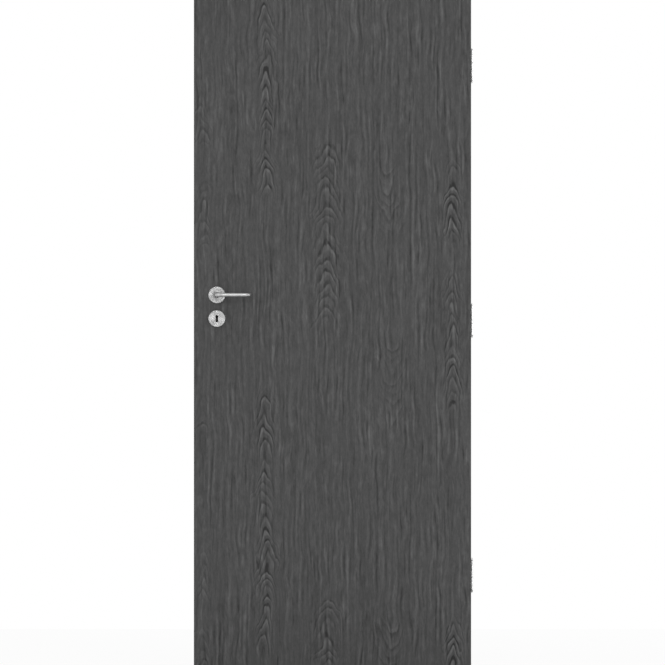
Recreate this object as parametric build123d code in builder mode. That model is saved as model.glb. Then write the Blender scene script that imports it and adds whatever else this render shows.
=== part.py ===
# An interior door: one flush leaf with plain square edges, faced on both sides and hung on
# three butt hinges. Each face has a slim lever on a round rosette, and a round key rosette
# below it. A mortise lock is let into the edge opposite the hinges.
#
# Sizes are millimetres. +X runs from the lock edge to the hinge edge, +Y from the front face
# to the back face, +Z up. The origin is the centre of the face by which the bottom hinge is
# screwed to the door frame. The leaf is closed, and it opens towards +Y.

import os
from build123d import *

# The leaf
leaf_width = 844
leaf_height = 2030
leaf_thickness = 40
skin_thickness = 3
band_thickness = 1
band_edge_radius = 0.6
stile_width = 45
rail_height = 60
lock_block_width = 75
lock_block_height = 300
core_tube_radius = 12
core_tube_wall = 8

# The butt hinges
hinge_height = 100
hinge_from_bottom = 275
hinge_from_top = 200
plate_thickness = 2.5
plate_width = 32
plate_corner_radius = 8
hinge_gap = 2.5
pin_standoff = 8
pin_radius = 3
pin_head_radius = 4.6
pin_head_height = 3
pin_head_edge_radius = 1.8
knuckle_count = 5
hinge_screw_radius = 2.5
hinge_screw_head_radius = 4.7
outer_screws_apart = 74
inner_screws_apart = 26
screw_rows_apart = 14

# The lock
backset = 70
key_below_lever = 72
forend_height = 235
forend_width = 20
forend_thickness = 3
forend_screw_inset = 9.5
forend_screw_radius = 2.2
forend_screw_head_radius = 4.2
case_thickness = 16
case_wall = 1.5
case_above_lever = 52
case_below_key = 45
case_behind_lever = 26
latch_height = 32
latch_width = 12
latch_length = 38
latch_nose_radius = 3
latch_above_lever = 6
dead_bolt_height = 30
dead_bolt_width = 12
dead_bolt_length = 42
dead_bolt_above_key = 3
bolt_tail_thickness = 3
bolt_tail_past_key = 16
talon_width = 9
talon_depth = 8
hub_radius = 10
hub_arm_reach = 20
hub_arm_width = 8
hub_arm_thickness = 5

# The furniture
lever_from_bottom = 1130
spindle_size = 8
socket_depth = 24
rosette_radius = 26
rosette_height = 8
rosette_wall = 1.2
rosette_edge_radius = 2
base_screws_apart = 38
base_screw_radius = 2.2
base_screw_head_radius = 4
neck_radius = 9
neck_off_face = 1.5
grip_height = 12
grip_depth = 13
lever_projection = 58
lever_reach = 106
elbow_radius = 20
return_radius = 14
return_off_face = 12
return_end_radius = 1.2
grub_hole_radius = 2.1
grub_hole_off_face = 16
keyhole_height = 22
keyhole_round_radius = 4.3
keyhole_slot_width = 7.6
spindle_bore_radius = 12
key_bore_margin = 2.5

# Clearances
let_in_gap = 0.2
bolt_gap = 0.25
base_gap = 0.1
neck_gap = 0.4
socket_gap = 0.05
socket_end_gap = 0.5
hub_gap = 0.1
pin_gap = 0.02
knuckle_bore_gap = 0.1
knuckle_end_gap = 0.3
knuckle_side_gap = 0.8

# The leaf's planes
edge_x = -plate_thickness - hinge_gap
lock_edge_x = edge_x - leaf_width
back_y = plate_width / 2
front_y = back_y - leaf_thickness
middle_y = (front_y + back_y) / 2
core_front_y = front_y + skin_thickness
core_back_y = back_y - skin_thickness
bottom_z = -hinge_from_bottom
top_z = bottom_z + leaf_height
inner_edge_x = edge_x - band_thickness
inner_lock_edge_x = lock_edge_x + band_thickness
inner_top_z = top_z - band_thickness
hinge_stile_x = inner_edge_x - stile_width
lock_stile_x = inner_lock_edge_x + stile_width

# The hinges' places
top_hinge_z = top_z - hinge_from_top
hinge_levels = {"bottom": 0, "middle": top_hinge_z / 2, "top": top_hinge_z}
pin_x = -plate_thickness - hinge_gap / 2
pin_y = back_y + pin_standoff
knuckle_radius = pin_radius + plate_thickness
knuckle_height = (hinge_height - (knuckle_count - 1) * knuckle_end_gap) / knuckle_count
knuckle_pitch = knuckle_height + knuckle_end_gap

# The lock's and the furniture's places
lever_x = lock_edge_x + backset
lever_z = bottom_z + lever_from_bottom
key_z = lever_z - key_below_lever
case_front_x = lock_edge_x + forend_thickness
case_back_x = lever_x + case_behind_lever
case_top_z = lever_z + case_above_lever
case_bottom_z = key_z - case_below_key
case_front_y = middle_y - case_thickness / 2
case_back_y = middle_y + case_thickness / 2
forend_z = (case_top_z + case_bottom_z) / 2
forend_screws_apart = forend_height - 2 * forend_screw_inset
latch_z = lever_z + latch_above_lever
dead_bolt_z = key_z + dead_bolt_above_key
lock_block_x = lock_stile_x + lock_block_width
lock_block_low_z = forend_z - lock_block_height / 2
lock_block_high_z = forend_z + lock_block_height / 2

middle_plane = Plane.XZ.offset(-middle_y)

os.makedirs("parts", exist_ok=True)


def keep(piece, name):
    """Labels a finished piece and writes it to its own file."""
    piece.part.label = name
    export_step(piece.part, f"parts/{name}.step")


def facing_front(y):
    """A plane at y to sketch on, with X across and Z up. It extrudes to the front."""
    return Plane.XZ.offset(-y)


def slab(low, high, mode=Mode.ADD):
    """A square-edged block between two opposite corners."""
    sizes = [end - start for start, end in zip(low, high)]
    with Locations(low):
        Box(*sizes, align=(Align.MIN, Align.MIN, Align.MIN), mode=mode)


def plate_outline(z, grow=0):
    """A hinge plate seen along X, from its two rounded corners to the pin's axis."""
    free_y = -plate_width / 2 - grow
    height = hinge_height + 2 * grow
    with Locations(((free_y + pin_y) / 2, z)):
        RectangleRounded(pin_y - free_y, height, plate_corner_radius)
    with Locations((pin_y / 2, z)):
        Rectangle(pin_y, height)


def forend_outline(grow=0):
    """The lock's face plate seen along X, with its round ends."""
    with Locations((middle_y, forend_z)):
        SlotOverall(forend_height + 2 * grow, forend_width + 2 * grow, rotation=90)


def keyhole(grow=0):
    """The keyhole: a round hole for the key's shank over a slot for its bit."""
    round_z = key_z + keyhole_height / 2 - keyhole_round_radius
    slot_end_z = key_z - keyhole_height / 2 + keyhole_slot_width / 2
    with Locations((lever_x, round_z)):
        Circle(keyhole_round_radius + grow)
    with Locations((lever_x, (round_z + slot_end_z) / 2)):
        SlotCenterToCenter(
            round_z - slot_end_z,
            keyhole_slot_width + 2 * grow,
            rotation=90,
        )


# What is cut out of the leaf: the hinges' recesses, the lock's pocket and the bores for the
# spindle and the key

with BuildPart() as hinge_recesses:
    with BuildSketch(Plane.YZ.offset(edge_x - plate_thickness)):
        for hinge_z in hinge_levels.values():
            plate_outline(hinge_z, let_in_gap)
    extrude(amount=plate_thickness)

with BuildPart() as lock_pocket:
    with BuildSketch(Plane.YZ.offset(lock_edge_x)):
        forend_outline(let_in_gap)
    extrude(amount=forend_thickness)
    slab(
        (case_front_x, case_front_y - let_in_gap, case_bottom_z - let_in_gap),
        (case_back_x + let_in_gap, case_back_y + let_in_gap, case_top_z + let_in_gap),
    )

with BuildPart() as face_bores:
    with BuildSketch(facing_front(back_y)):
        with Locations((lever_x, lever_z)):
            Circle(spindle_bore_radius)
        keyhole(key_bore_margin)
    extrude(amount=leaf_thickness)

# The leaf: two faces on a softwood frame, with a tubular board in the middle

with BuildPart() as front_skin:
    slab(
        (inner_lock_edge_x, front_y, bottom_z),
        (inner_edge_x, core_front_y, inner_top_z),
    )
    add(face_bores.part, mode=Mode.SUBTRACT)
keep(front_skin, "front_skin")

with BuildPart() as back_skin:
    slab(
        (inner_lock_edge_x, core_back_y, bottom_z),
        (inner_edge_x, back_y, inner_top_z),
    )
    add(face_bores.part, mode=Mode.SUBTRACT)
    add(hinge_recesses.part, mode=Mode.SUBTRACT)
keep(back_skin, "back_skin")

with BuildPart() as hinge_stile:
    slab(
        (hinge_stile_x, core_front_y, bottom_z),
        (inner_edge_x, core_back_y, inner_top_z),
    )
    add(hinge_recesses.part, mode=Mode.SUBTRACT)
keep(hinge_stile, "hinge_stile")

with BuildPart() as lock_stile:
    slab(
        (inner_lock_edge_x, core_front_y, bottom_z),
        (lock_stile_x, core_back_y, inner_top_z),
    )
    add(lock_pocket.part, mode=Mode.SUBTRACT)
keep(lock_stile, "lock_stile")

for rail_name, rail_z in (
    ("bottom_rail", bottom_z),
    ("top_rail", inner_top_z - rail_height),
):
    with BuildPart() as rail:
        slab(
            (lock_stile_x, core_front_y, rail_z),
            (hinge_stile_x, core_back_y, rail_z + rail_height),
        )
    keep(rail, rail_name)

with BuildPart() as lock_block:
    slab(
        (lock_stile_x, core_front_y, lock_block_low_z),
        (lock_block_x, core_back_y, lock_block_high_z),
    )
    add(lock_pocket.part, mode=Mode.SUBTRACT)
    add(face_bores.part, mode=Mode.SUBTRACT)
keep(lock_block, "lock_block")

with BuildPart() as core_board:
    core_low_z = bottom_z + rail_height
    core_high_z = inner_top_z - rail_height
    core_width = hinge_stile_x - lock_stile_x
    tube_pitch = 2 * core_tube_radius + core_tube_wall
    tube_count = int((core_width - core_tube_wall) // tube_pitch)
    slab(
        (lock_stile_x, core_front_y, core_low_z),
        (hinge_stile_x, core_back_y, core_high_z),
    )
    with BuildSketch(Plane.XY.offset(core_low_z)):
        with Locations(((lock_stile_x + hinge_stile_x) / 2, middle_y)):
            with GridLocations(tube_pitch, tube_pitch, tube_count, 1):
                Circle(core_tube_radius)
    extrude(amount=core_high_z - core_low_z, mode=Mode.SUBTRACT)
    slab(
        (lock_stile_x, core_front_y, lock_block_low_z),
        (lock_block_x, core_back_y, lock_block_high_z),
        Mode.SUBTRACT,
    )
keep(core_board, "core_board")

# The edge bands: a strip on each long edge and one across the top

with BuildPart() as hinge_edge_band:
    slab((inner_edge_x, front_y, bottom_z), (edge_x, back_y, top_z))
    corners = hinge_edge_band.edges().filter_by(Axis.Z).group_by(Axis.X)[-1]
    fillet(corners, band_edge_radius)
    add(hinge_recesses.part, mode=Mode.SUBTRACT)
keep(hinge_edge_band, "hinge_edge_band")

with BuildPart() as lock_edge_band:
    slab((lock_edge_x, front_y, bottom_z), (inner_lock_edge_x, back_y, top_z))
    corners = lock_edge_band.edges().filter_by(Axis.Z).group_by(Axis.X)[0]
    fillet(corners, band_edge_radius)
    add(lock_pocket.part, mode=Mode.SUBTRACT)
keep(lock_edge_band, "lock_edge_band")

with BuildPart() as top_edge_band:
    slab((inner_lock_edge_x, front_y, inner_top_z), (inner_edge_x, back_y, top_z))
    corners = top_edge_band.edges().filter_by(Axis.X).group_by(Axis.Z)[-1]
    fillet(corners, band_edge_radius)
keep(top_edge_band, "top_edge_band")

# The lock: a case open at its front, behind a face plate, with two bolts and a hub

with BuildPart() as lock_case:
    slab(
        (case_front_x, case_front_y, case_bottom_z),
        (case_back_x, case_back_y, case_top_z),
    )
    slab(
        (case_front_x, case_front_y + case_wall, case_bottom_z + case_wall),
        (case_back_x - case_wall, case_back_y - case_wall, case_top_z - case_wall),
        Mode.SUBTRACT,
    )
    with BuildSketch(facing_front(case_back_y)):
        with Locations((lever_x, lever_z)):
            Circle(hub_radius + hub_gap)
        keyhole()
    extrude(amount=case_thickness, mode=Mode.SUBTRACT)
keep(lock_case, "lock_case")

with BuildPart() as lock_forend:
    with BuildSketch(Plane.YZ.offset(lock_edge_x)):
        forend_outline()
        with Locations((middle_y, latch_z)):
            Rectangle(
                latch_width + 2 * bolt_gap,
                latch_height + 2 * bolt_gap,
                mode=Mode.SUBTRACT,
            )
        with Locations((middle_y, dead_bolt_z)):
            Rectangle(
                dead_bolt_width + 2 * bolt_gap,
                dead_bolt_height + 2 * bolt_gap,
                mode=Mode.SUBTRACT,
            )
    extrude(amount=forend_thickness)
    with Locations(Plane((lock_edge_x, middle_y, forend_z), (0, -1, 0), (-1, 0, 0))):
        with GridLocations(forend_screws_apart, forend_screws_apart, 1, 2):
            CounterSinkHole(
                forend_screw_radius,
                forend_screw_head_radius,
                counter_sink_angle=90,
            )
keep(lock_forend, "lock_forend")

with BuildPart() as latch_bolt:
    slab(
        (lock_edge_x, middle_y - latch_width / 2, latch_z - latch_height / 2),
        (
            lock_edge_x + latch_length,
            middle_y + latch_width / 2,
            latch_z + latch_height / 2,
        ),
    )
    nose = latch_bolt.edges().filter_by(Axis.Z).group_by(Axis.X)[0]
    fillet(nose, latch_nose_radius)
keep(latch_bolt, "latch_bolt")

with BuildPart() as dead_bolt:
    bolt_low_z = dead_bolt_z - dead_bolt_height / 2
    bolt_high_z = dead_bolt_z + dead_bolt_height / 2
    bolt_back_x = lock_edge_x + dead_bolt_length
    tail_end_x = lever_x + bolt_tail_past_key
    slab(
        (lock_edge_x, middle_y - dead_bolt_width / 2, bolt_low_z),
        (bolt_back_x, middle_y + dead_bolt_width / 2, bolt_high_z),
    )
    slab(
        (bolt_back_x, middle_y - bolt_tail_thickness / 2, bolt_low_z),
        (tail_end_x, middle_y + bolt_tail_thickness / 2, bolt_high_z),
    )
    with BuildSketch(facing_front(middle_y + bolt_tail_thickness / 2)):
        with Locations((lever_x, bolt_low_z)):
            Rectangle(talon_width, 2 * talon_depth)
    extrude(amount=bolt_tail_thickness, mode=Mode.SUBTRACT)
keep(dead_bolt, "dead_bolt")

with BuildPart() as lock_hub:
    with BuildSketch(facing_front(case_back_y)):
        with Locations((lever_x, lever_z)):
            Circle(hub_radius)
    extrude(amount=case_thickness)
    with BuildSketch(facing_front(middle_y + hub_arm_thickness / 2)):
        with Locations((lever_x, lever_z + hub_arm_reach / 2)):
            Rectangle(hub_arm_width, hub_arm_reach)
    extrude(amount=hub_arm_thickness)
    with BuildSketch(facing_front(case_back_y)):
        with Locations((lever_x, lever_z)):
            Rectangle(spindle_size + 2 * socket_gap, spindle_size + 2 * socket_gap)
    extrude(amount=case_thickness, mode=Mode.SUBTRACT)
keep(lock_hub, "lock_hub")

# The furniture on the front face, and its mirror image on the back face

base_radius = rosette_radius - rosette_wall - base_gap
base_height = rosette_height - rosette_wall

with BuildPart() as front_lever_base:
    with BuildSketch(facing_front(front_y)):
        with Locations((lever_x, lever_z)):
            Circle(base_radius)
            Circle(neck_radius + neck_gap, mode=Mode.SUBTRACT)
    extrude(amount=base_height)
    with Locations(facing_front(front_y - base_height)):
        with Locations((lever_x, lever_z)):
            with GridLocations(base_screws_apart, base_screws_apart, 2, 1):
                CounterSinkHole(
                    base_screw_radius,
                    base_screw_head_radius,
                    counter_sink_angle=90,
                )

with BuildPart() as front_key_base:
    with BuildSketch(facing_front(front_y)):
        with Locations((lever_x, key_z)):
            Circle(base_radius)
    extrude(amount=base_height)
    with BuildSketch(facing_front(front_y)):
        keyhole(key_bore_margin)
    extrude(amount=base_height, mode=Mode.SUBTRACT)
    with Locations(facing_front(front_y - base_height)):
        with Locations((lever_x, key_z)):
            with GridLocations(base_screws_apart, base_screws_apart, 2, 1):
                CounterSinkHole(
                    base_screw_radius,
                    base_screw_head_radius,
                    counter_sink_angle=90,
                )

with BuildPart() as front_lever_rosette:
    with BuildSketch(facing_front(front_y)):
        with Locations((lever_x, lever_z)):
            Circle(rosette_radius)
    extrude(amount=rosette_height)
    rim = front_lever_rosette.edges().group_by(Axis.Y)[0]
    fillet(rim, rosette_edge_radius)
    with BuildSketch(facing_front(front_y)):
        with Locations((lever_x, lever_z)):
            Circle(rosette_radius - rosette_wall)
    extrude(amount=rosette_height - rosette_wall, mode=Mode.SUBTRACT)
    with BuildSketch(facing_front(front_y)):
        with Locations((lever_x, lever_z)):
            Circle(neck_radius + neck_gap)
    extrude(amount=rosette_height, mode=Mode.SUBTRACT)

with BuildPart() as front_key_rosette:
    with BuildSketch(facing_front(front_y)):
        with Locations((lever_x, key_z)):
            Circle(rosette_radius)
    extrude(amount=rosette_height)
    rim = front_key_rosette.edges().group_by(Axis.Y)[0]
    fillet(rim, rosette_edge_radius)
    with BuildSketch(facing_front(front_y)):
        with Locations((lever_x, key_z)):
            Circle(rosette_radius - rosette_wall)
    extrude(amount=rosette_height - rosette_wall, mode=Mode.SUBTRACT)
    with BuildSketch(facing_front(front_y)):
        keyhole()
    extrude(amount=rosette_height, mode=Mode.SUBTRACT)

# The lever turns from its neck into the grip and back towards the door. Along the first bend
# its round section flattens into the grip's oval one.

grip_y = front_y - lever_projection + grip_depth / 2
elbow_y = grip_y + elbow_radius
grip_x = lever_x + elbow_radius
return_x = lever_x + lever_reach - grip_depth / 2
return_start_x = return_x - return_radius
return_y = grip_y + return_radius
return_end_y = front_y - return_off_face
neck_end_y = front_y - neck_off_face

with BuildPart() as front_lever:
    with BuildSketch(facing_front(neck_end_y)):
        with Locations((lever_x, lever_z)):
            Circle(neck_radius)
    extrude(amount=neck_end_y - elbow_y)
    with BuildLine(Plane.XY.offset(lever_z)):
        JernArc((lever_x, elbow_y), (0, -1), elbow_radius, 90)
    with BuildSketch(facing_front(elbow_y)):
        with Locations((lever_x, lever_z)):
            Circle(neck_radius)
    with BuildSketch(Plane.YZ.offset(grip_x)):
        with Locations((grip_y, lever_z)):
            Ellipse(grip_depth / 2, grip_height / 2)
    sweep(multisection=True)
    with BuildSketch(Plane.YZ.offset(grip_x)):
        with Locations((grip_y, lever_z)):
            Ellipse(grip_depth / 2, grip_height / 2)
    extrude(amount=return_start_x - grip_x)
    with BuildLine(Plane.XY.offset(lever_z)):
        bend = JernArc((return_start_x, grip_y), (1, 0), return_radius, 90)
        Line(bend @ 1, (return_x, return_end_y))
    with BuildSketch(Plane.YZ.offset(return_start_x)):
        with Locations((grip_y, lever_z)):
            Ellipse(grip_depth / 2, grip_height / 2)
    sweep()
    grip_end = front_lever.faces().filter_by(Axis.Y).filter_by_position(
        Axis.Y, return_end_y - 1, return_end_y + 1
    )
    fillet(grip_end.edges(), return_end_radius)
    with BuildSketch(facing_front(neck_end_y)):
        with Locations((lever_x, lever_z)):
            Rectangle(spindle_size + 2 * socket_gap, spindle_size + 2 * socket_gap)
    extrude(amount=socket_depth, mode=Mode.SUBTRACT)
    with BuildSketch(Plane.XY.offset(lever_z - neck_radius)):
        with Locations((lever_x, front_y - grub_hole_off_face)):
            Circle(grub_hole_radius)
    extrude(amount=neck_radius, mode=Mode.SUBTRACT)

for front_piece, name in (
    (front_lever_base, "lever_base"),
    (front_key_base, "key_base"),
    (front_lever_rosette, "lever_rosette"),
    (front_key_rosette, "key_rosette"),
    (front_lever, "lever"),
):
    keep(front_piece, f"front_{name}")
    with BuildPart() as back_piece:
        mirror(front_piece.part, about=middle_plane)
    keep(back_piece, f"back_{name}")

with BuildPart() as spindle:
    half_length = middle_y - neck_end_y + socket_depth - socket_end_gap
    with BuildSketch(middle_plane):
        with Locations((lever_x, lever_z)):
            Rectangle(spindle_size, spindle_size)
    extrude(amount=half_length, both=True)
keep(spindle, "spindle")

# The hinges: the frame's plate carries the outer and the middle knuckles, the leaf's plate
# the two between them


def screw_places(facing):
    """The four screw holes of a plate, in two rows. facing is 1 or -1, as the plate's face."""
    row = facing * screw_rows_apart / 2
    outer = outer_screws_apart / 2
    inner = inner_screws_apart / 2
    return [(-row, outer), (-row, -outer), (row, inner), (row, -inner)]


def knuckle_places(hinge_z, first):
    """Every second knuckle's centre, from the one with that number, counted from below."""
    lowest = hinge_z - (knuckle_count - 1) / 2 * knuckle_pitch
    numbers = range(first, knuckle_count, 2)
    return [(pin_x, pin_y, lowest + number * knuckle_pitch) for number in numbers]


for level, hinge_z in hinge_levels.items():
    for owner, back_x, facing, first, bore_gap in (
        ("frame", -plate_thickness, -1, 0, pin_gap),
        ("leaf", edge_x - plate_thickness, 1, 1, knuckle_bore_gap),
    ):
        face_x = -plate_thickness if owner == "frame" else edge_x
        with BuildPart() as plate:
            with BuildSketch(Plane.YZ.offset(back_x)):
                plate_outline(hinge_z)
            extrude(amount=plate_thickness)
            with Locations(knuckle_places(hinge_z, 1 - first)):
                Cylinder(
                    knuckle_radius + knuckle_side_gap,
                    knuckle_height + 2 * knuckle_end_gap,
                    mode=Mode.SUBTRACT,
                )
            with Locations(knuckle_places(hinge_z, first)):
                Cylinder(knuckle_radius, knuckle_height)
            with Locations((pin_x, pin_y, hinge_z)):
                Cylinder(pin_radius + bore_gap, hinge_height, mode=Mode.SUBTRACT)
            with Locations(Plane((face_x, 0, hinge_z), (0, facing, 0), (facing, 0, 0))):
                with Locations(screw_places(facing)):
                    CounterSinkHole(
                        hinge_screw_radius,
                        hinge_screw_head_radius,
                        counter_sink_angle=90,
                    )
        keep(plate, f"{level}_hinge_{owner}_plate")
    with BuildPart() as pin:
        with Locations((pin_x, pin_y, hinge_z)):
            Cylinder(pin_radius, hinge_height)
        with Locations(
            (pin_x, pin_y, hinge_z + (hinge_height + pin_head_height) / 2),
            (pin_x, pin_y, hinge_z - (hinge_height + pin_head_height) / 2),
        ):
            Cylinder(pin_head_radius, pin_head_height)
        ends = pin.edges().filter_by(GeomType.CIRCLE).group_by(Axis.Z)
        fillet([ends[0], ends[-1]], pin_head_edge_radius)
    keep(pin, f"{level}_hinge_pin")
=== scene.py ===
import math

import bpy
import numpy as np
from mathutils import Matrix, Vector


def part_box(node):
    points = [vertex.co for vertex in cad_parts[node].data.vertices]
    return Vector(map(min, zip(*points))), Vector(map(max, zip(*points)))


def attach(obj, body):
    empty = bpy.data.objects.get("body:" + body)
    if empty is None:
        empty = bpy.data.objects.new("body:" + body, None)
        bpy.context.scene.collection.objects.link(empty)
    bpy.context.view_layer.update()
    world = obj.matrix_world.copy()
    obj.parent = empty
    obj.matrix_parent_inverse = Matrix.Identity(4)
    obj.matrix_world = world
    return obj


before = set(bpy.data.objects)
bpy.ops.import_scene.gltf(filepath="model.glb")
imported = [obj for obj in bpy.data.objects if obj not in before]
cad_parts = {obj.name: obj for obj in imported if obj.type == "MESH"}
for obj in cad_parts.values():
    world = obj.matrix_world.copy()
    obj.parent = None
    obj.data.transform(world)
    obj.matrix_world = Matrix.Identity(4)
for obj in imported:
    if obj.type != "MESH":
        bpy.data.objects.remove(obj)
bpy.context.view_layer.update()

# The wooden frame inside the leaf: two stiles, two rails and a block for the lock, sawn from
# pale softwood and glued between the faces. It shows along the bottom edge and in the cuts for
# the lock and the hinges.


class Signal:
    """One socket of a material's nodes. Arithmetic on signals adds the Math nodes for it."""

    def __init__(self, tree, socket=None):
        self.tree = tree
        self.socket = socket

    def node(self, kind, settings=None, inputs=None, output=0):
        """Adds a node: its type, then its settings, then the values or signals it takes."""
        added = self.tree.nodes.new(kind)
        settings = dict(settings or {})
        stops = settings.pop("stops", ())
        for name, setting in settings.items():
            setattr(added, name, setting)
        for spot, colour in stops[1:-1]:
            added.color_ramp.elements.new(spot)
        for number, (spot, colour) in enumerate(stops):
            added.color_ramp.elements[number].position = spot
            added.color_ramp.elements[number].color = colour
        for name, given in (inputs or {}).items():
            if isinstance(given, Signal):
                self.tree.links.new(given.socket, added.inputs[name])
            else:
                added.inputs[name].default_value = given
        return Signal(self.tree, added.outputs[output])

    def math(self, operation, *others):
        takes = dict(enumerate((self, *others)))
        return self.node("ShaderNodeMath", {"operation": operation}, takes)

    def vector(self, operation, *others):
        takes = dict(enumerate((self, *others)))
        return self.node("ShaderNodeVectorMath", {"operation": operation}, takes)

    def __add__(self, other):
        return self.math("ADD", other)

    def __sub__(self, other):
        return self.math("SUBTRACT", other)

    def __mul__(self, other):
        return self.math("MULTIPLY", other)

    def __truediv__(self, other):
        return self.math("DIVIDE", other)

    def __radd__(self, other):
        return self + other

    def __rmul__(self, other):
        return self * other

    def __rsub__(self, other):
        return self * -1 + other

    def fade(self, nothing, whole):
        """A smooth step from 0 at one value to 1 at the other, whichever is the greater."""
        return self.node(
            "ShaderNodeMapRange",
            {"interpolation_type": "SMOOTHSTEP"},
            {"Value": self, "From Min": nothing, "From Max": whole},
        )

    def noise(self, lengths, detail=2.0, roughness=0.5):
        """Smooth noise about 0. lengths is how long its spots are along X, Y and Z."""
        stretched = self.vector("DIVIDE", lengths)
        takes = {"Vector": stretched, "Scale": 1.0, "Detail": detail, "Roughness": roughness}
        return stretched.node("ShaderNodeTexNoise", None, takes) - 0.5

    def even_noise(self, length, detail=2.0):
        """Smooth noise about 0 whose spots are equally long in all directions."""
        return self.noise((length, length, length), detail)

    def axis(self, name):
        return self.node("ShaderNodeSeparateXYZ", None, {0: self}, name)

    def tinted(self, *stops):
        """A colour that follows the signal, blended between stops of a value and a colour."""
        ramp = {"stops": [(spot, paint(levels)) for spot, levels in stops]}
        return self.node("ShaderNodeValToRGB", ramp, {"Fac": self})

    def choose(self, first, second):
        """The first colour where the signal is 0 and the second where it is 1."""
        takes = {0: self, 6: first, 7: second}
        return self.node("ShaderNodeMix", {"data_type": "RGBA"}, takes, 2)


def paint(levels):
    """The linear colour of sRGB levels from 0 to 255: one level for a grey, or three."""
    three = levels if isinstance(levels, tuple) else (levels,) * 3
    shares = [level / 255 for level in three]
    linear = [s / 12.92 if s <= 0.04045 else ((s + 0.055) / 1.055) ** 2.4 for s in shares]
    return (*linear, 1.0)


def start_finish(name):
    """A new material, and the place on the object as a signal."""
    finish = bpy.data.materials.new(name)
    finish.use_nodes = True
    blank = Signal(finish.node_tree)
    return finish, blank.node("ShaderNodeTexCoord", output="Object")


def set_shader(finish, sockets):
    """Gives the shader's sockets their fixed values or their signals."""
    shader = finish.node_tree.nodes["Principled BSDF"]
    for name, given in sockets.items():
        if isinstance(given, Signal):
            finish.node_tree.links.new(given.socket, shader.inputs[name])
        else:
            shader.inputs[name].default_value = given


def pressed(height, depth):
    """The surface normal where a height of about 0 to 1 is pressed in, depth metres deep."""
    takes = {"Height": height, "Strength": 1.0, "Distance": depth}
    return height.node("ShaderNodeBump", None, takes, "Normal")


def coat(finish, *nodes):
    """Gives the finish to CAD pieces."""
    for node in nodes:
        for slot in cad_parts[node].material_slots:
            slot.material = finish


def planed_pine(name, along):
    """Planed softwood: growth lines drawn out along the piece, fine fibres, rare resin flecks."""
    finish, place = start_finish(name)

    def drawn_out(width, length):
        return [length if axis == along else width for axis in "XYZ"]

    lines = place.noise(drawn_out(width=0.0045, length=0.30), detail=3.0, roughness=0.55)
    fibres = place.noise(drawn_out(width=0.0007, length=0.02))
    flecks = place.noise(drawn_out(width=0.0015, length=0.03), detail=0.0).fade(0.24, 0.30)
    tone = lines * 2.2 + fibres * 0.8 + 0.55 - flecks * 0.3
    late_wood, early_wood, bleached = (172, 132, 86), (208, 172, 124), (228, 200, 156)
    sockets = {
        "Base Color": tone.tinted((0.0, late_wood), (0.5, early_wood), (1.0, bleached)),
        "Roughness": fibres * 0.4 + 0.68,
        "Normal": pressed(fibres + lines * 0.5, depth=0.0003),
        "Specular IOR Level": 0.3,
    }
    set_shader(finish, sockets)
    return finish


coat(planed_pine("upright_pine", "Z"), "lock_stile", "hinge_stile", "lock_block")
coat(planed_pine("level_pine", "X"), "bottom_rail", "top_rail")

# The middle of the leaf: chipboard pressed round a row of upright tubes, which makes it light
# and stiff. It is glued between the faces, and shows only where something is cut into the leaf.


def pressed_chips(name):
    """Chipboard: flat chips of every tone from dark bark to pale sapwood, with dust between."""
    finish, place = start_finish(name)
    chip_size = (0.006, 0.0022, 0.004)
    cells = place.vector("DIVIDE", chip_size)
    takes = {"Vector": cells, "Scale": 1.0}
    chips = cells.node("ShaderNodeTexVoronoi", {"feature": "F1"}, takes, "Color").axis("X")
    dust = place.even_noise(0.0011)
    tone = chips * 0.8 + dust * 0.9 + 0.1
    bark, heartwood, sapwood = (104, 74, 46), (168, 130, 86), (218, 186, 138)
    sockets = {
        "Base Color": tone.tinted((0.0, bark), (0.3, heartwood), (1.0, sapwood)),
        "Roughness": dust * 0.4 + 0.82,
        "Normal": pressed(chips * 0.6 + dust, depth=0.0004),
        "Specular IOR Level": 0.25,
    }
    set_shader(finish, sockets)
    return finish


coat(pressed_chips("tubular_chipboard"), "core_board")

# The two faces: fibreboard 3 mm thick under a dark grey foil, printed and pressed like brushed
# oak. Flame-shaped hearts stand in upright columns with plain grain between them, and the
# print comes round again every 1.39 m. The sides of a face stay raw fibreboard.

skin_low, skin_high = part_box("front_skin")
back_skin_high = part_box("back_skin")[1]

# Grey levels of the print, on a scale from 0 to 255: its plain tone, how far it goes to both
# sides of it, and how much darker a pore is.
plain_level = 70
level_range = 30
pore_level = 8

# The three sheets are cut from places so far apart in the noise that they share no mark.
front_sheet = 0.0
back_sheet = 4.0
band_sheet = 9.0

# The print's columns of hearts, in metres from a face's left edge and from its bottom.
repeat = 1.389
repeat_starts = 0.2
rings_per_repeat = 37
heart_spacing = 0.190
first_heart = 0.026
heart_spread = 0.0220
wide_heart_spread = 0.035
wide_column = 2
turned_column = 3
heart_fade = 0.03

# Each heart's column, lower end, upper end and strength. One that crosses the height where the
# repeat starts is here twice.
hearts = (
    (0, 0.190, 0.350, 0.35),
    (0, 0.656, 0.823, 0.35),
    (0, 1.275, 1.515, 0.40),
    (1, 0.045, 0.827, 0.95),
    (1, 1.434, 1.880, 1.00),
    (2, -0.10, 0.195, 0.60),
    (2, 1.019, 1.700, 0.68),
    (3, 0.717, 0.990, 0.30),
    (3, 1.306, 1.530, 0.35),
    (4, 0.787, 1.187, 0.90),
    (4, 1.306, 1.526, 1.00),
)


def on_sheet(across, up, sheet):
    """A place on a printed sheet: X across the grain, Z along it, and Y for the sheet."""
    return across.node("ShaderNodeCombineXYZ", None, {0: across, 1: sheet, 2: up})


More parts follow.
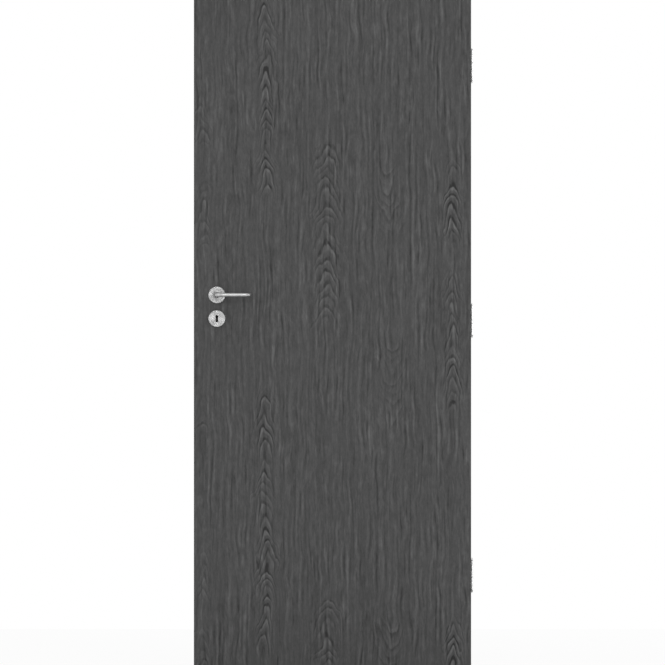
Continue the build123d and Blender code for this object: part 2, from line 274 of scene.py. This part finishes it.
def plain_grain(spot):
    """The grain in grey levels: broad bands, long and short streaks, flecks, fibres, and darker
    and paler dashes. It wanders sideways, and streaks and dashes are weaker in quiet patches.
    The dashes come in pairs, where a noise differs most from itself a few millimetres beside."""
    lively = spot.noise((0.045, 1.0, 0.20)).fade(-0.22, 0.18) * 0.9 + 0.45
    bands = spot.noise((0.070, 1.0, 0.70), detail=1.0) * 4
    wander = spot.noise((0.090, 1.0, 0.15), detail=1.0) * 0.024
    spot = on_sheet(spot.axis("X") + wander, spot.axis("Z"), spot.axis("Y"))
    long_streaks = spot.noise((0.0125, 1.0, 0.45), detail=1.0) * 31
    short_streaks = spot.noise((0.0118, 1.0, 0.040)) * 36
    dash_size = (0.0088, 1.0, 0.10)
    beside = spot.vector("ADD", (0.0038, 0.0, 0.0))
    pairs = spot.noise(dash_size, detail=0.0) - beside.noise(dash_size, detail=0.0)
    dark_dashes = pairs.fade(0.11, 0.25) * 12
    pale_dashes = pairs.fade(-0.11, -0.25) * 9
    flecks = spot.noise((0.0050, 1.0, 0.012), roughness=0.6) * 21
    fibres = spot.noise((0.0011, 1.0, 0.030), roughness=0.6) * 19
    streaks = long_streaks + short_streaks - dark_dashes + pale_dashes
    return bands + lively * streaks + flecks + fibres


def pores(spot):
    """1 in a pore and 0 between them: hair-fine upright slits, crowded in some patches."""
    crowds = spot.noise((0.006, 1.0, 0.08), detail=1.0)
    slits = spot.noise((0.00042, 1.0, 0.0085), detail=1.0)
    return (slits + crowds * 0.5).fade(0.15, 0.21)


def flames(spot):
    """The hearts in grey levels. A heart's rings are the curves on which the height in rings and
    a drop add up to a whole number. With the distance from the column's middle measured in
    spreads, the drop is 0.7 times its square, plus the root of its square and 0.06: a rounded
    tip and steep sides. Each ring has a strength of its own, and in one column the hearts are
    turned upside down."""
    sway = spot.noise((0.16, 1.0, 0.20)) * 0.05
    across = spot.axis("X") + sway - first_heart
    column = (across / heart_spacing).math("ROUND")

    def in_column(number):
        return column.math("COMPARE", number, 0.5)

    turned = in_column(turned_column)
    wide = in_column(wide_column) + turned
    spread = wide * (wide_heart_spread - heart_spread) + heart_spread
    skew = spot.noise((0.035, 1.0, 0.11)) * 1.6 + 1
    apart = (across - column * heart_spacing) / spread * skew
    square = apart * apart
    drop = square * 0.7 + (square + 0.06).math("SQRT")

    height = spot.axis("Z").math("WRAP", repeat + repeat_starts, repeat_starts)
    coarse_jitter = spot.noise((0.16, 1.0, 0.11), detail=1.0) * 3.4
    fine_jitter = spot.noise((0.015, 1.0, 0.045), detail=1.0) * 0.7
    rings_up = height * (rings_per_repeat / repeat) * (turned * -2 + 1)
    rings = rings_up + drop + (coarse_jitter + fine_jitter)
    phase = rings.math("FRACT")
    pale_line = phase.fade(0.12, 0.34) * phase.fade(0.60, 0.46)
    dark_line = phase.fade(0.48, 0.62) * phase.fade(0.98, 0.72)

    more_rings_than_a_column_has = 97
    ring = {"W": rings.math("FLOOR") + column * more_rings_than_a_column_has}
    chance = phase.node("ShaderNodeTexWhiteNoise", {"noise_dimensions": "1D"}, ring, "Value")
    shown = 0.0
    for number, low, high, strength in hearts:
        above_low_end = height.fade(low - heart_fade, low + heart_fade)
        below_high_end = height.fade(high + heart_fade, high - heart_fade)
        shown = in_column(number) * (above_low_end * below_high_end) * strength + shown
    uneven = spot.noise((0.012, 1.0, 0.04), detail=1.0) * 2.6 + 0.95
    ragged = spot.noise((0.3, 1.0, 0.07), detail=1.0) * 1.6
    near = (apart.math("ABSOLUTE") + ragged).fade(1.7, 0.1)
    return (pale_line * 14 - dark_line * 23) * (chance * 1.1 + 0.45) * shown * near * uneven


def printed(levels):
    """The foil's colour, given in grey levels above or below its plain tone."""
    darkest, palest = plain_level - level_range, plain_level + level_range
    share = levels / (2 * level_range) + 0.5
    return share.tinted((0.0, darkest), (0.5, plain_level), (1.0, palest))


def oak_foil(name, node, outer_y, from_lock_side, sheet):
    """The foil on a face, with raw fibreboard below it."""
    finish, place = start_finish(name)
    across = place.axis("X") - skin_low[0] if from_lock_side else skin_high[0] - place.axis("X")
    spot = on_sheet(across, place.axis("Z") - skin_low[2], sheet)
    slits = pores(spot)
    levels = plain_grain(spot) + flames(spot) - slits * pore_level
    fibreboard = place.even_noise(0.0016, detail=3.0).tinted((0.3, (102, 76, 52)), (0.7, (134, 104, 74)))
    depth = (place.axis("Y") - outer_y).math("ABSOLUTE")
    sockets = {
        "Base Color": depth.fade(0.0005, 0.0003).choose(fibreboard, printed(levels)),
        "Roughness": slits * 0.2 + levels * -0.003 + 0.58,
        "Normal": pressed(levels * 0.02 - slits, depth=0.00012),
        "Specular IOR Level": 0.25,
    }
    set_shader(finish, sockets)
    coat(finish, node)


oak_foil("front_oak_foil", "front_skin", skin_low[1], True, front_sheet)
oak_foil("back_oak_foil", "back_skin", back_skin_high[1], False, back_sheet)

# The edge bands: strips with the faces' plain grain, glued over both long edges and the top
# once the faces are on. A trimming cutter rounds their outer corners.


def edge_foil(name, along, *nodes):
    """The band's foil, a little darker than the faces, its grain drawn along the strip."""
    finish, place = start_finish(name)
    across = place.axis("Y") + place.axis("X" if along == "Z" else "Z")
    spot = on_sheet(across, place.axis(along), band_sheet)
    slits = pores(spot)
    sockets = {
        "Base Color": printed(plain_grain(spot) - slits * pore_level - 3),
        "Roughness": slits * 0.2 + 0.54,
        "Normal": pressed(slits * -1, depth=0.0001),
        "Specular IOR Level": 0.3,
    }
    set_shader(finish, sockets)
    coat(finish, *nodes)


edge_foil("upright_band_foil", "Z", "lock_edge_band", "hinge_edge_band")
edge_foil("top_band_foil", "X", "top_edge_band")

# The lock, let into the edge: a zinc-plated case behind a satin steel face plate, a dead bolt,
# a latch with a black nylon nose, and the hub that the levers' spindle turns.

hair_width = 0.00006
hair_length = 0.02


def plated_steel(name, level, roughness):
    """Zinc-plated steel: the cloudy patches of the plating over fine rolling marks."""
    finish, place = start_finish(name)
    clouds = place.even_noise(0.018, detail=3.0)
    marks = place.noise((0.0004, 0.0004, 0.03))
    sockets = {
        "Base Color": (clouds + marks * 0.6 + 0.5).tinted((0.2, level - 14), (0.8, level + 14)),
        "Metallic": 1.0,
        "Roughness": clouds * 0.2 + marks * 0.2 + roughness,
        "Normal": pressed(marks, depth=0.00003),
    }
    set_shader(finish, sockets)
    return finish


def satin_steel(name, level, direction, hairs, flank_lean=1.5, roughness=0.28):
    """Brushed stainless steel. direction is the way the brush went, as a vector, and hairs is
    noise that changes from one brush mark to the next. Each mark's flanks lean to both sides of
    it, so a lamp's light is drawn out across the marks."""
    finish, place = start_finish(name)
    marks = hairs(place)
    smears = place.even_noise(0.014)
    turn = {"vector_type": "VECTOR", "convert_from": "OBJECT", "convert_to": "WORLD"}
    along = place.node("ShaderNodeVectorTransform", turn, {0: direction(place)})
    surface = place.node("ShaderNodeNewGeometry", output="Normal")
    sideways = surface.vector("CROSS_PRODUCT", along.vector("NORMALIZE"))
    takes = {0: sideways, "Scale": marks * flank_lean}
    lean = sideways.node("ShaderNodeVectorMath", {"operation": "SCALE"}, takes)
    sockets = {
        "Base Color": (marks + smears * 0.6 + 0.5).tinted((0.0, level - 16), (1.0, level + 12)),
        "Metallic": 1.0,
        "Roughness": smears * 0.16 + roughness,
        "Normal": surface.vector("ADD", lean).vector("NORMALIZE"),
    }
    set_shader(finish, sockets)
    return finish


def upright_brushing(name, level):
    """Satin steel brushed along Z."""
    return satin_steel(
        name,
        level,
        lambda place: (0.0, 0.0, 1.0),
        lambda place: place.noise((hair_width, hair_width, hair_length), roughness=0.6),
    )


def moulded_nylon(name, level):
    """Black nylon with the faint grit of its mould."""
    finish, place = start_finish(name)
    grit = place.even_noise(0.0006)
    sockets = {
        "Base Color": (grit + 0.5).tinted((0.2, level - 5), (0.8, level + 6)),
        "Roughness": grit * 0.3 + 0.42,
        "Normal": pressed(grit, depth=0.00005),
    }
    set_shader(finish, sockets)
    return finish


zinc_plate = plated_steel("zinc_plate", level=158, roughness=0.34)
coat(zinc_plate, "lock_case", "dead_bolt", "lock_hub", "spindle")
coat(upright_brushing("forend_steel", level=176), "lock_forend")
coat(moulded_nylon("latch_nylon", level=34), "latch_bolt")

# The tumblers: two thin plates of oiled dark steel inside the lock, one on each side of the dead bolt's
# tail. They close the view through the keyholes.
# Their near-black colour is partly the oiled steel's own tone and partly painted shade, so the keyholes
# look as dark as the shade inside a lock.

spoke_count = 48
spokes = np.linspace(0, math.tau, spoke_count, endpoint=False)
circle = np.ones(spoke_count)
rightwards = (1, 0, 0)
upwards = (0, 0, 1)


def add_stacks(name, rows, spots, right, up, body, finish):
    """Closed solids that are alike, in one mesh. A row holds an outline as its reach at each
    spoke, and its height. A point is its spot, plus right times the reach times the spoke's
    cosine, plus up times the reach times its sine, plus right and up's product times the
    height. The first and last rows are poles, where the reach is nothing."""
    axes = np.array([right, up, np.cross(right, up)], float)
    reach = np.array([row[0] for row in rows])
    height = np.array([row[1] for row in rows])[:, None] * circle
    points = np.stack((reach * np.cos(spokes), reach * np.sin(spokes), height), axis=-1) @ axes
    one = np.concatenate((points[0, :1], points[1:-1].reshape(-1, 3), points[-1, :1]))
    this = np.arange(spoke_count)
    after = (this + 1) % spoke_count
    ring = 1 + np.arange(len(rows) - 3)[:, None] * spoke_count
    above = ring + spoke_count
    sides = np.stack((ring + this, above + this, above + after, ring + after), axis=-1)
    first_pole = this * 0
    last_pole = first_pole + len(one) - 1
    last_ring = 1 + (len(rows) - 3) * spoke_count
    first_cap = np.stack((first_pole, 1 + this, 1 + after), axis=-1)
    last_cap = np.stack((last_ring + this, last_pole, last_ring + after), axis=-1)
    faces = []
    for number in range(len(spots)):
        for patch in (first_cap, sides.reshape(-1, 4), last_cap):
            faces.extend((patch + number * len(one)).tolist())
    mesh = bpy.data.meshes.new(name)
    mesh.from_pydata(np.concatenate([one + np.array(spot) for spot in spots]).tolist(), [], faces)
    mesh.shade_smooth()
    mesh.set_sharp_from_angle(angle=math.radians(25))
    mesh.materials.append(finish)
    piece = bpy.data.objects.new(name, mesh)
    bpy.context.scene.collection.objects.link(piece)
    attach(piece, body)


def rounded_reach(half_width, half_height, power):
    """How far a rounded rectangle reaches in each direction: the curve on which the power of
    each share of the half sizes adds up to one."""
    width_share = np.abs(np.cos(spokes) / half_width)
    height_share = np.abs(np.sin(spokes) / half_height)
    return (width_share**power + height_share**power) ** (-1 / power)


cover_low, cover_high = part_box("front_key_rosette")
key_x = (cover_low[0] + cover_high[0]) / 2
key_z = (cover_low[2] + cover_high[2]) / 2
tumbler_faces_y = (-0.0063, -0.0015)
plate_thickness = 0.0006
plate_bevel = 0.0001
plate = rounded_reach(half_width=0.014, half_height=0.021, power=5)
bevelled_plate = plate * 0.98
tumbler = (
    (plate * 0.0, 0.0),
    (bevelled_plate, 0.0),
    (plate, -plate_bevel),
    (plate, plate_bevel - plate_thickness),
    (bevelled_plate, -plate_thickness),
    (plate * 0.0, -plate_thickness),
)
spots = [(key_x, y, key_z) for y in tumbler_faces_y]
# Level 36 is the oiled steel's own dark tone plus painted shade for the dark inside of the keyholes.
oiled_steel_and_painted_shade = plated_steel("oiled_steel_and_painted_shade", level=36, roughness=0.5)
add_stacks("lock_tumblers", tumbler, spots, rightwards, upwards, "leaf", oiled_steel_and_painted_shade)

# The furniture on both faces: nylon bases screwed to the leaf, pressed steel covers brushed in
# rings on a lathe and snapped over them, and levers cast in steel and brushed lengthwise.

leaf_middle_y = (skin_low[1] + back_skin_high[1]) / 2


def ring_brushing(name, level, centre_x, centre_z):
    """Satin steel brushed round an axis that runs through the leaf. The marks drift outwards on
    their way round."""

    def from_axis(place):
        flat = place.vector("MULTIPLY", (1.0, 0.0, 1.0))
        return flat.vector("SUBTRACT", (centre_x, 0.0, centre_z))

    def round_the_axis(place):
        return from_axis(place).vector("CROSS_PRODUCT", (0.0, 1.0, 0.0))

    def ring_marks(place):
        arm = from_axis(place)
        radius = arm.node("ShaderNodeVectorMath", {"operation": "LENGTH"}, {0: arm}, "Value")
        takes = {0: radius / hair_width, 1: place.axis("Y") / hair_width}
        rings = radius.node("ShaderNodeCombineXYZ", None, takes)
        drift = place.vector("DIVIDE", (0.05, 0.05, 0.05))
        return rings.vector("ADD", drift).noise((1.0, 1.0, 1.0), roughness=0.6)

    return satin_steel(name, level, round_the_axis, ring_marks, roughness=0.25)


def lengthwise_brushing(name, level, first_bend_x, last_bend_x, bend_off_middle):
    """Satin steel brushed along the lever: out of the leaf, round the first bend, along the
    grip, and round the last bend. The bends' centres lie bend_off_middle from the leaf's middle,
    and beside a bend the brush goes square to the line from its centre."""

    def off_middle(place):
        return place.axis("Y") - leaf_middle_y

    def from_bend(place):
        """How far the place lies beyond the bends' centres: along the grip, and outwards."""
        x = place.axis("X")
        before = (x - first_bend_x).math("MINIMUM", 0.0)
        behind = (x - last_bend_x).math("MAXIMUM", 0.0)
        outwards = off_middle(place).math("ABSOLUTE") - bend_off_middle
        return before + behind, outwards.math("MAXIMUM", 0.0)

    def along_the_lever(place):
        sideways, outwards = from_bend(place)
        side = off_middle(place).math("SIGN")
        return place.node("ShaderNodeCombineXYZ", None, {0: outwards, 1: sideways * side * -1})

    def lever_marks(place):
        sideways, outwards = from_bend(place)
        radius = (sideways * sideways + outwards * outwards).math("SQRT")
        along = place.axis("X") + off_middle(place).math("ABSOLUTE")
        takes = {0: radius, 1: place.axis("Z"), 2: along}
        unrolled = place.node("ShaderNodeCombineXYZ", None, takes)
        return unrolled.noise((hair_width, hair_width, hair_length), roughness=0.6)

    return satin_steel(name, level, along_the_lever, lever_marks, flank_lean=1.9, roughness=0.38)


for furniture in ("key", "lever"):
    cover_low, cover_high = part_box(f"front_{furniture}_rosette")
    cover_x = (cover_low[0] + cover_high[0]) / 2
    cover_z = (cover_low[2] + cover_high[2]) / 2
    cover_steel = ring_brushing(f"{furniture}_cover_steel", 149, cover_x, cover_z)
    coat(cover_steel, f"front_{furniture}_rosette", f"back_{furniture}_rosette")
base_nylon = moulded_nylon("base_nylon", level=30)
coat(base_nylon, "front_lever_base", "back_lever_base", "front_key_base", "back_key_base")

# The bends' centres, from the axis that the lever turns on, from its end, and from the leaf's
# middle.
first_bend_beside_axis = 0.020
last_bend_before_end = 0.0205
bends_off_middle = 0.054
lever_end_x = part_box("front_lever")[1][0]
lever_steel = lengthwise_brushing(
    "lever_steel",
    188,
    cover_x + first_bend_beside_axis,
    lever_end_x - last_bend_before_end,
    bends_off_middle,
)
coat(lever_steel, "front_lever", "back_lever")

# The hinges: steel plates with knuckles rolled from them, satin plated and let into the leaf's
# edge and the jamb, and a pin with a button at each end.

hinge_levels = ("bottom", "middle", "top")
hinge_steel = upright_brushing("hinge_steel", level=190)
button_steel = plated_steel("pin_steel", level=186, roughness=0.28)
for level in hinge_levels:
    coat(hinge_steel, f"{level}_hinge_leaf_plate", f"{level}_hinge_frame_plate")
    coat(button_steel, f"{level}_hinge_pin")

# The screws: countersunk ones with a cross recess hold the hinges and the lock's face plate,
# and a headless one with a hexagon socket under each lever's neck clamps it to the spindle.

frontwards = (0, -1, 0)
backwards = (0, 1, 0)
sunk = 0.0001


def cross_reach(half_width, half_length):
    """How far a cross-shaped recess reaches in each direction. Each of its two bars reaches the
    lesser of its half length over the cosine and its half width over the sine."""
    cosine = np.maximum(np.abs(np.cos(spokes)), 1e-6)
    sine = np.maximum(np.abs(np.sin(spokes)), 1e-6)
    level_bar = np.minimum(half_length / cosine, half_width / sine)
    upright_bar = np.minimum(half_length / sine, half_width / cosine)
    return np.maximum(level_bar, upright_bar)


def hexagon_reach(flats):
    """How far a hexagon reaches in each direction: half its width over the flats, over the
    cosine of the angle from the middle of the nearest side."""
    return flats / 2 / np.cos(np.mod(spokes, math.pi / 3) - math.pi / 6)


def screw_rows(socket, socket_depth, head, shank, length):
    """From the bottom of the socket, which is narrower there, over the head's face and its rim,
    down the cone under the head and the shank, to the tip. head and shank are radii."""
    rim = head * 0.05
    return (
        (socket * 0.0, -socket_depth),
        (socket * 0.55, -socket_depth * 0.96),
        (socket * 0.97, -socket_depth * 0.12),
        (socket * 1.03, 0.0),
        (circle * (head - rim), 0.0),
        (circle * head, -rim),
        (circle * shank, shank - head - rim),
        (circle * shank, -length),
        (circle * 0.0, -length - shank * 0.6),
    )


screw_steel = plated_steel("screw_zinc", level=176, roughness=0.24)
hinge_cross = cross_reach(half_width=0.00072, half_length=0.00268)
hinge_screw = screw_rows(hinge_cross, socket_depth=0.0022, head=0.0045, shank=0.0021, length=0.030)
band_face_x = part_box("hinge_edge_band")[1][0]
holes_from_plate_middle = ((-0.007, -0.037), (-0.007, 0.037), (0.007, -0.013), (0.007, 0.013))
for level in hinge_levels:
    plate_low, plate_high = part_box(f"{level}_hinge_leaf_plate")
    plate_z = (plate_low[2] + plate_high[2]) / 2
    spots = [(band_face_x - sunk, y, plate_z + up) for y, up in holes_from_plate_middle]
    name = f"{level}_hinge_screws"
    add_stacks(name, hinge_screw, spots, backwards, upwards, "leaf", screw_steel)

forend_low, forend_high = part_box("lock_forend")
forend_y = (forend_low[1] + forend_high[1]) / 2
hole_from_end = 0.0095
holes_z = (forend_low[2] + hole_from_end, forend_high[2] - hole_from_end)
forend_cross = cross_reach(half_width=0.00066, half_length=0.00246)
forend_screw = screw_rows(forend_cross, socket_depth=0.0020, head=0.0040, shank=0.0019, length=0.025)
spots = [(forend_low[0] + sunk, forend_y, z) for z in holes_z]
add_stacks(
    "forend_screws", forend_screw, spots, frontwards, upwards, "leaf", screw_steel
)

neck_radius = 0.009
grub_screw_in_neck = 0.0012
grub_screw_off_leaf = 0.016
grub_screw = screw_rows(
    hexagon_reach(flats=0.0020), socket_depth=0.0016, head=0.0020, shank=0.0018, length=0.0026
)
holes_y = (skin_low[1] - grub_screw_off_leaf, back_skin_high[1] + grub_screw_off_leaf)
spots = [(cover_x, y, cover_z - neck_radius + grub_screw_in_neck) for y in holes_y]
add_stacks(
    "grub_screws", grub_screw, spots, rightwards, frontwards, "levers", button_steel
)

# The floor just under the leaf, the white surround and the soft lamps of a studio. To the
# camera the floor is nearly as white as the surround, and keeps a trace of its shadows.

floor_z = skin_low[2] - 0.006
floor_left, floor_right = -3.4, 2.6
floor_front, floor_back = -3.0, 2.2
corners = [
    (floor_left, floor_front, floor_z),
    (floor_right, floor_front, floor_z),
    (floor_right, floor_back, floor_z),
    (floor_left, floor_back, floor_z),
]
floor_mesh = bpy.data.meshes.new("floor")
floor_mesh.from_pydata(corners, [], [(0, 1, 2, 3)])
floor = bpy.data.objects.new("floor", floor_mesh)
bpy.context.scene.collection.objects.link(floor)
floor_finish, place = start_finish("pale_floor")
mottle = place.even_noise(0.3) + 0.5
set_shader(floor_finish, {"Base Color": mottle.tinted((0.2, 226), (0.8, 232)), "Roughness": 0.8})
white_share = 0.9
lit = Signal(place.tree, place.tree.nodes["Principled BSDF"].outputs[0])
seen = place.node("ShaderNodeLightPath", output="Is Camera Ray")
white = place.node("ShaderNodeEmission", None, {"Color": paint(255), "Strength": 1.0})
mixed = place.node("ShaderNodeMixShader", None, {0: seen * white_share, 1: lit, 2: white})
place.tree.links.new(mixed.socket, place.tree.nodes["Material Output"].inputs["Surface"])
floor_mesh.materials.append(floor_finish)

surround = bpy.data.worlds.new("white_surround")
bpy.context.scene.world = surround
surround.use_nodes = True
blank = Signal(surround.node_tree)
in_camera = blank.node("ShaderNodeLightPath", output="Is Camera Ray")
in_mirrors = blank.node("ShaderNodeLightPath", output="Is Glossy Ray")
through_glass = blank.node("ShaderNodeLightPath", output="Is Transmission Ray")
direct = (in_camera + in_mirrors + through_glass).math("MINIMUM", 1.0)
fill_light = 0.65
background = surround.node_tree.nodes["Background"]
background.inputs["Color"].default_value = paint(255)
strength = direct * (1 - fill_light) + fill_light
surround.node_tree.links.new(strength.socket, background.inputs["Strength"])

middle_x = (skin_low[0] + skin_high[0]) / 2
middle_z = (skin_low[2] + skin_high[2]) / 2


def add_lamp(name, beside, y, z, aim_z, width, height, power):
    """A soft rectangular lamp, beside the leaf's middle, that faces a height on the leaf."""
    light = bpy.data.lights.new(name, "AREA")
    light.shape = "RECTANGLE"
    light.size = width
    light.size_y = height
    light.energy = power
    lamp = bpy.data.objects.new(name, light)
    upward_slope = math.atan2(aim_z - z, math.hypot(beside, y))
    lamp.location = (middle_x + beside, y, z)
    lamp.rotation_euler = (math.pi / 2 + upward_slope, 0, math.atan2(beside, -y))
    lamp.visible_camera = False
    bpy.context.scene.collection.objects.link(lamp)


add_lamp("upper_lamp", -0.2, -6.4, 3.0, aim_z=0.9, width=1.5, height=1.2, power=46.5)
add_lamp("low_lamp", 1.3, -6.2, 0.4, aim_z=0.4, width=2.0, height=2.0, power=59)
add_lamp("left_lamp", -5.2, -3.0, 1.2, aim_z=0.8, width=1.4, height=1.4, power=26)
add_lamp("side_lamp", 5.5, -1.2, 0.9, aim_z=0.8, width=1.2, height=2.4, power=22)
add_lamp("back_upper_lamp", 0.0, 6.4, 3.3, aim_z=0.9, width=1.8, height=0.9, power=90)
add_lamp("back_side_lamp", 4.2, 5.2, 1.5, aim_z=0.8, width=0.9, height=1.8, power=70)

# The camera stands far away and square to the leaf, which is as high as the picture.

picture_height = 2.0245
picture_above_middle = 0.0013
camera = bpy.data.cameras.new("camera")
camera.lens = 300
camera.sensor_width = 36
camera.clip_end = 100
distance = picture_height * camera.lens / camera.sensor_width
stand = bpy.data.objects.new("camera", camera)
stand.location = (middle_x, skin_low[1] - distance, middle_z + picture_above_middle)
stand.rotation_euler = (math.pi / 2, 0, 0)
bpy.context.scene.collection.objects.link(stand)
bpy.context.scene.camera = stand
bpy.context.scene.view_settings.view_transform = "Standard"
